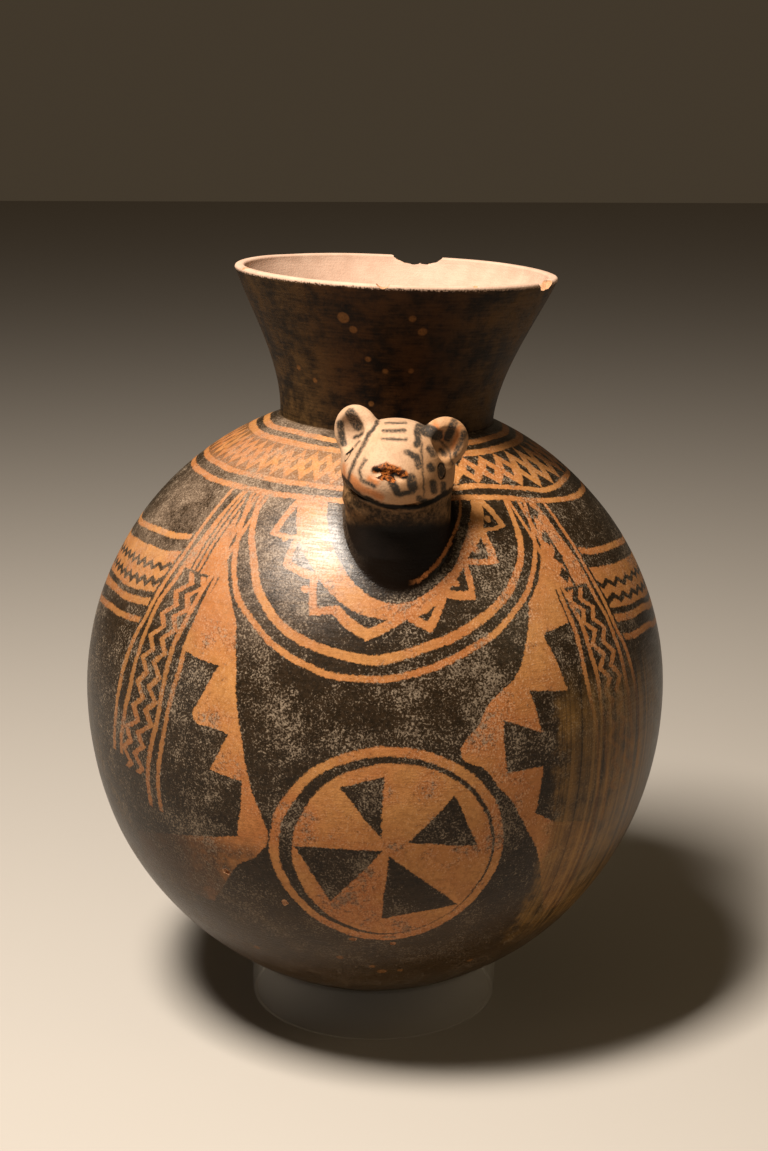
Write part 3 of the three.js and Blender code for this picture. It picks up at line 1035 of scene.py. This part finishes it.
class Clay:
    """The painted surface of the bottle, worked out from places on it in its own millimetres."""

    def __init__(self, tree):
        self.tree = tree
        where = tree.add("ShaderNodeTexCoord", output="Object")
        self.pot = tree.add("ShaderNodeMapping", {"vector_type": "TEXTURE"}, {
            "Vector": where, "Location": tuple(body_centre), "Rotation": (0.0, BOTTLE_LEAN, 0.0),
            "Scale": (MILLIMETRE,) * 3})
        self.x, self.y, self.z = tree.split(self.pot)
        self.orange = self.orange_slip()
        self.textures()
        self.root = self.shadowed_head_root()

    def orange_slip(self):
        """The design with hand-drawn edges, rubbed away in places."""
        tree = self.tree
        wander_x, wander_y = tree.uneven(self.pot, 0.035, 1.0, 0.5)
        ragged_x, ragged_y = tree.uneven(self.pot, 0.55, 4.0, 0.75)
        around = self.around = tree.math("ARCTAN2", self.x, -self.y) * math.degrees(1)
        reach = tree.vector("LENGTH", self.pot, output="Value")
        down = self.down = (self.z / reach).math("ARCCOSINE") * math.degrees(1)
        drawn_around = strayed(strayed(around, wander_x, 1.8), ragged_x, 1.5)
        drawn_down = strayed(strayed(down, wander_y, 1.4), ragged_y, 1.2)
        orange = Design(tree, drawn_around, drawn_down).whole()
        patchy = self.patchy = tree.noise(self.pot, 0.045, 6.0, 0.75)
        self.bits = tree.noise(self.pot, 0.45, 4.0, 0.75)
        worn_left = above(down, 106, 4) * below(around, -24, 2)
        orange = orange * (1 - worn_left * (0.4 + above(patchy, 0.47, 0.1) * 0.5))
        orange = orange * (1 - worn_left * below(strayed(around, patchy, 30), -41, 7) * 0.8)
        scuffed = above(patchy * 0.6 + self.bits * 0.4, 0.575, 0.04)
        orange = orange * (1 - scuffed * 0.7)
        return orange * (1 - below(around, -40, 5) * above(down, 68, 12) * 0.4)

    def textures(self):
        """Noises that several tones share, from broad clouds to fine grain and brush strokes."""
        tree = self.tree
        self.broad = tree.noise(self.pot, 0.022, 3.0, 0.6)
        self.mottle = tree.noise(self.pot, 0.12, 4.0, 0.65)
        self.fine = tree.noise(self.pot, 1.2, 2.0, 0.6)
        flat = tree.add("ShaderNodeMapping", None, {"Vector": self.pot, "Scale": (0.25, 0.25, 3.0)})
        self.brush = tree.noise(flat, 0.35, 3.0, 0.6)

    def shadowed_head_root(self):
        """1 on the column of the head and in the corner at its root, where painted shadow darkens the black
        slip.
        """
        tree = self.tree
        level = tree.vector("MULTIPLY", self.pot, (1, 1, 0))
        gap = tree.vector("DISTANCE", level, (THROAT_X, THROAT_Y, 0), output="Value")
        return below(gap, 25.5, 1.5) * below(self.y, -58, 1) * above(self.z, 30, 1)

    def body(self):
        """Black slip and orange slip, each mottled and flecked, with painted shadow on the column and root
        of the head.
        """
        broad, mottle, bits, root = self.broad, self.mottle, self.bits, self.root
        lit = above(self.down, 110, 30)
        speck = self.speck = above(self.fine * 0.5 + self.patchy * 0.5, 0.555, 0.05) * (1 - root)
        dark = mix(mottle * 0.6 + broad * 0.4, *BLACK_SLIP)
        belly = mix(mottle * 0.7 + self.brush * 0.3, *BELLY_BLACK)
        dark = mix(above(strayed(self.down, broad, 30), 116, 9) * 0.9, dark, belly)
        # Painted shadow: the column of the head and its root go deep black, and lose their flecks and
        # rubbed grain
        dark = mix(root, dark, ROOT_SHADOW_BLACK)
        dark = mix(above(bits, 0.5, 0.1) * 0.5 * (1 - root), dark, RUBBED_BLACK)
        fleck = mix(above(bits, 0.48, 0.12), *FLECKS)
        dark = mix(speck * (0.62 - lit * 0.4), dark, fleck)
        warm = mix(above(broad, 0.5, 0.14), *ORANGE_SLIP)
        warm = mix(mottle, mix(0.45, warm, ORANGE_SHADE), mix(0.3, warm, ORANGE_LIGHT))
        warm = mix(above(bits, 0.52, 0.1) * (0.3 + lit * 0.25), warm, ORANGE_GRAIN)
        warm = mix(above(self.patchy, 0.55, 0.1) * 0.45, warm, RED_PATCH)
        warm = mix(speck * (0.2 + above(self.around, 10, 20) * 0.15), warm, ORANGE_FLECK)
        return mix(self.orange, dark, warm)

    def worn_and_shaded_side(self, colour):
        """Olive brown with faint strokes that run down, low on the right, partly wear and partly painted
        shade, and dust on the left shoulder.
        """
        tree = self.tree
        around, down, mottle = self.around, self.down, self.mottle
        upright = tree.add("ShaderNodeTexNoise", {"noise_dimensions": "1D"}, {
            "W": around, "Scale": 0.6, "Detail": 3.0, "Roughness": 0.6})
        # Low on the right, on the side away from the key light: olive brown that is partly wear, with
        # strokes running down, and partly painted shade
        worn = above(strayed(around, mottle, 10), 32.5, 2.5) * below(around, 64, 8)
        worn = worn * above(strayed(down, self.broad, 14), 77, 6) * below(down, 130, 6)
        shaded_olive = mix(above(upright * 0.6 + mottle * 0.4, 0.5, 0.16), *WORN_AND_SHADED_OLIVE)
        shaded_olive = mix(self.speck * 0.3, shaded_olive, OLIVE_FLECK)
        colour = mix(worn * 0.85, colour, shaded_olive)
        dusty = below(around, -14, 9) * above(around, -80, 10) * below(down, 64, 10)
        return mix(dusty * above(self.fine * 0.4 + self.patchy * 0.6, 0.46, 0.1) * 0.3, colour, DUST)

    def neck(self, colour):
        """The neck is all dark, with level strokes. Also finds what is near the head."""
        tree = self.tree
        self.local = tree.add("ShaderNodeMapping", {"vector_type": "TEXTURE"}, {
            "Vector": self.pot, "Location": tuple(HEAD_CENTRE), "Rotation": HEAD_ANGLES})
        gap = tree.vector("LENGTH", self.local, output="Value")
        self.near_head = below(gap, 41, 1) * below(self.y, -58, 1)
        self.on_neck = above(self.z, WAIST_HEIGHT, 0.6) * (1 - self.near_head)
        smear = above(self.brush * 0.18 + self.patchy * 0.47 + self.mottle * 0.35, 0.5, 0.11)
        neck = mix(smear, *NECK_BLACK)
        pale = mix(smear, *NECK_BROWN)
        neck = mix(above(abs(self.around + 4), 32, 18) * 0.6, neck, pale)
        return mix(self.on_neck, colour, neck)

    def flakes(self, colour):
        tree = self.tree
        flaked = either(
            below(tree.vector("DISTANCE", self.pot, place, output="Value"), radius, 0.5)
            for place, radius in FLAKES)
        return mix(flaked * 0.75, colour, mix(self.fine, *FLAKED_CLAY))

    def head(self, colour):
        """The head, painted on a plane of its own: cream, with grey marks, over a brown jaw. Painted shade
        darkens the right cheek, the jaw and the eye rings, and painted shadow the throat.
        """
        tree = self.tree
        fine, mottle = self.fine, self.mottle
        sizes = (1 / BODY_RADIUS, 1 / BODY_RADIUS, 1 / BODY_ABOVE)
        height = tree.vector("LENGTH", tree.vector("MULTIPLY", self.pot, sizes), output="Value")
        self.on_head = above(height, 1.012, 0.002) * self.near_head
        shake_x, shake_y = tree.uneven(self.pot, 0.22, 4.0, 0.7)
        across = strayed(tree.vector("DOT_PRODUCT", self.local, FACE_ACROSS, output="Value"), shake_x, 6)
        fall = strayed(tree.vector("DOT_PRODUCT", self.local, FACE_DOWN, output="Value"), shake_y, 6)
        face = self.face = tree.combine(across, fall, 0.0)
        marks = tree.strokes(face, FACE_MARKS, 1.6)
        cream = mix(mottle * 0.7 + fine * 0.3, *CREAM_SLIP)
        # Tan towards the right and lower face: partly the slip's own tone, partly painted shade on the side
        # away from the key light
        cream = mix(above(strayed(across + fall * 0.6, mottle, 70), 12, 22) * 0.72, cream, SHADED_TAN_CHEEK)
        cream = mix(tree.strokes(face, WARM_MARKS, 3) * 0.8, cream, ORANGE_STAIN)
        cream = mix(above(fine, 0.54, 0.05) * 0.22, cream, CREAM_GRAIN)
        grey = mix(fine, *GREY_PAINT)
        worn = 0.65 + above(fine * 0.5 + mottle * 0.5, 0.46, 0.06) * 0.35
        head = mix(marks * worn, cream, grey)
        # Painted shade in the pressed eye rings, and a dark slit where the left ring is seen from the side
        head = mix(tree.strokes(face, EYE_SLIT), head, EYE_GROOVE_SHADE)
        for place in EYES:
            gap = tree.vector("DISTANCE", self.local, place, output="Value")
            head = mix(line(gap - CANE_RADIUS, 0.4, 0.25) * 0.9, head, EYE_GROOVE_SHADE)
        smile = fall - curve(across, SMILE)
        # Below the mouth: a brown jaw, darkened with painted shade under the snout
        jaw = above(strayed(smile, mottle, 6), 2, 4)
        under = mix(above(self.bits * 0.5 + mottle * 0.5, 0.5, 0.12), *SHADED_JAW_BROWN)
        head = mix(jaw, head, under)
        head = mix(line(smile, 3.0, 1.5), head, MOUTH_BLACK)
        # Black slip on the throat, darkened further by painted shadow under the jaw
        throat = above(strayed(fall, mottle, 12), 55, 8)
        head = mix(throat, head, mix(mottle, *THROAT_SHADOW_BLACK))
        return mix(self.on_head, colour, head)

    def bare(self, colour):
        """The lip, the inside and the breaks show the clay."""
        tree = self.tree
        facing = tree.add("ShaderNodeNewGeometry", output="Normal")
        level = tree.vector("MULTIPLY", self.pot, (1, 1, 0))
        inward = below(tree.vector("DOT_PRODUCT", level, facing, output="Value"), 0, 3)
        inward = inward * above(self.y, -62, 0.5)
        clay = mix(self.mottle, *BARE_CLAY)
        lip = above(strayed(self.z, self.fine, 3), RIM_HEIGHT - 1.6, 0.5)
        colour = mix(inward | lip, colour, clay)
        broken = tree.add("ShaderNodeAttribute", {"attribute_name": "broken"}, None, "Fac")
        raw = mix(self.fine, *BROKEN_CLAY)
        raw = mix(self.near_head, raw, mix(above(self.bits, 0.5, 0.06), *BROKEN_NOSE))
        self.broken = broken | tree.strokes(self.face, NOSE_BREAK, 1.5) * self.on_head
        raw = mix(tree.strokes(self.face, NOSTRILS, 1.0) * self.near_head, raw, MOUTH_BLACK)
        return mix(self.broken, colour, raw)

    def roughness(self):
        """Burnished slip is the smoothest; orange, flecks, breaks, neck and head are rougher."""
        painted = 0.24 + self.mottle * 0.16 + self.orange * 0.10 + self.speck * 0.16
        return painted + self.broken * 0.3 + (self.on_neck | self.on_head) * 0.25

    def relief(self):
        grain = self.brush * 0.45 + self.fine * 0.6
        return self.tree.add("ShaderNodeBump", None, {
            "Strength": 0.8, "Distance": 0.0003, "Height": grain}, "Normal")

    def gloss(self):
        """The burnish is left in level streaks, most of it on the shoulder."""
        streaks = 0.4 + above(self.brush * 0.6 + self.fine * 0.4, 0.5, 0.09) * 0.75
        shine = (0.04 + above(self.z, 20, 50) * 0.52) * streaks
        return shine * (1 - (self.on_neck | self.broken | self.root | self.on_head) * 0.95)


# Finishes

def new_finish(name):
    finish = bpy.data.materials.new(name)
    finish.use_nodes = True
    finish.node_tree.nodes.clear()
    return finish, Tree(finish.node_tree)


def show(finish, shader):
    output = finish.node_tree.nodes.new("ShaderNodeOutputMaterial")
    finish.node_tree.links.new(shader.socket, output.inputs[0])


def painted_clay():
    finish, tree = new_finish("painted burnished clay")
    clay = Clay(tree)
    colour = clay.worn_and_shaded_side(clay.body())
    colour = clay.flakes(clay.neck(colour))
    colour = clay.bare(clay.head(colour))
    show(finish, tree.add("ShaderNodeBsdfPrincipled", None, {
        "Base Color": colour, "Roughness": clay.roughness(), "Normal": clay.relief(),
        "Specular IOR Level": 0.11, "Coat Weight": clay.gloss(), "Coat Roughness": 0.36}))
    return finish


def clear_acrylic():
    finish, tree = new_finish("clear acrylic")
    where = tree.add("ShaderNodeTexCoord", output="Object")
    haze = tree.noise(where, 60.0, 3.0, 0.6)
    edge = tree.add("ShaderNodeLayerWeight", None, {"Blend": 0.12}, "Facing")
    show(finish, tree.add("ShaderNodeBsdfPrincipled", None, {
        "Base Color": (0.95, 0.93, 0.88, 1.0), "Roughness": 0.03 + haze * 0.05, "IOR": 1.49,
        "Alpha": 0.02 + edge * 0.35}))
    return finish


# The two pieces

turning = turned_tree()

bottle = bottle_mesh()
bottle.data.materials.append(painted_clay())
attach(bottle, "root")
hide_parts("bottle")

acrylic = clear_acrylic()
ring_mesh = turned("clear_ring", ring_profile(), acrylic, **{
    "Columns": 200, "Crowding": 0.0, "Unevenness": 0.0,
    "Smooth Place": (0.0, 0.0, 0.0), "Smooth Reach": 1.0})
ring_mesh.transform(ring_place)
ring_mesh.polygons.foreach_set("use_smooth", [True] * len(ring_mesh.polygons))
ring = object_of(ring_mesh, acrylic)
ring.name = "clear_ring"
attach(ring, "root")
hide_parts("ring_stand")


# Floor, light and camera

FLOOR_HALF = 6
FLOOR_TONE = (0.42, 0.385, 0.34, 1)
ROOM_TONE = (0.90, 0.67, 0.42, 1)
ROOM_STRENGTH = 0.06
LENS = 62.55
SENSOR = 36
CAMERA_TURN = math.radians(-3.1)
CAMERA_PLACE = (0.003857, -0.919236, 0.444527)
CAMERA_DOWN = math.radians(14.25)
CAMERA_ROLL = math.radians(0.38)
# Each light's name, degrees round, degrees up, distance, size, power and tone
LIGHTS = [
    ("key", -42, 62.5, 1.4, (0.26, 0.38), 47, (1.0, 0.92, 0.83)),
    ("low left", -76, 4, 1.5, (0.4, 0.4), 1.3, (1.0, 0.88, 0.72)),
    ("right", 60, 30, 1.8, (0.6, 0.6), 2.5, (1.0, 0.80, 0.50)),
]

floor_mesh = bpy.data.meshes.new("floor")
corners = [(-FLOOR_HALF, -FLOOR_HALF, 0), (FLOOR_HALF, -FLOOR_HALF, 0),
           (FLOOR_HALF, FLOOR_HALF, 0), (-FLOOR_HALF, FLOOR_HALF, 0)]
floor_mesh.from_pydata(corners, [], [(0, 1, 2, 3)])
floor_finish = bpy.data.materials.new("pale floor")
floor_finish.use_nodes = True
floor_finish.node_tree.nodes["Principled BSDF"].inputs["Base Color"].default_value = FLOOR_TONE
floor_finish.node_tree.nodes["Principled BSDF"].inputs["Roughness"].default_value = 0.8
floor = object_of(floor_mesh, floor_finish)


def soft_light(name, around, up, distance, size, power, tone):
    """A square soft light, aimed at the middle of the body."""
    lamp = bpy.data.lights.new(name, "AREA")
    lamp.shape = "RECTANGLE"
    lamp.size, lamp.size_y = size
    lamp.energy = power
    lamp.color = tone
    made = bpy.data.objects.new(name, lamp)
    a, e = math.radians(around), math.radians(up)
    back = Vector((math.sin(a) * math.cos(e), -math.cos(a) * math.cos(e), math.sin(e)))
    made.location = body_centre + back * distance
    made.rotation_euler = back.to_track_quat("Z", "Y").to_euler()
    bpy.context.scene.collection.objects.link(made)


for light in LIGHTS:
    soft_light(*light)
world = bpy.data.worlds.new("room")
bpy.context.scene.world = world
world.use_nodes = True
world.node_tree.nodes["Background"].inputs["Color"].default_value = ROOM_TONE
world.node_tree.nodes["Background"].inputs["Strength"].default_value = ROOM_STRENGTH

camera = bpy.data.cameras.new("camera")
camera.lens = LENS
camera.sensor_width = SENSOR
camera.sensor_fit = "AUTO"
camera.clip_start = 0.05
viewer = bpy.data.objects.new("camera", camera)
bpy.context.scene.collection.objects.link(viewer)
viewer.matrix_world = (
    Matrix.Translation((ring_centre.x, ring_centre.y, 0))
    @ Matrix.Rotation(CAMERA_TURN, 4, "Z")
    @ Matrix.Translation(CAMERA_PLACE)
    @ Matrix.Rotation(math.radians(90) - CAMERA_DOWN, 4, "X")
    @ Matrix.Rotation(CAMERA_ROLL, 4, "Z")
)
bpy.context.scene.camera = viewer
bpy.context.scene.view_settings.view_transform = "Standard"

bpy.context.view_layer.update()
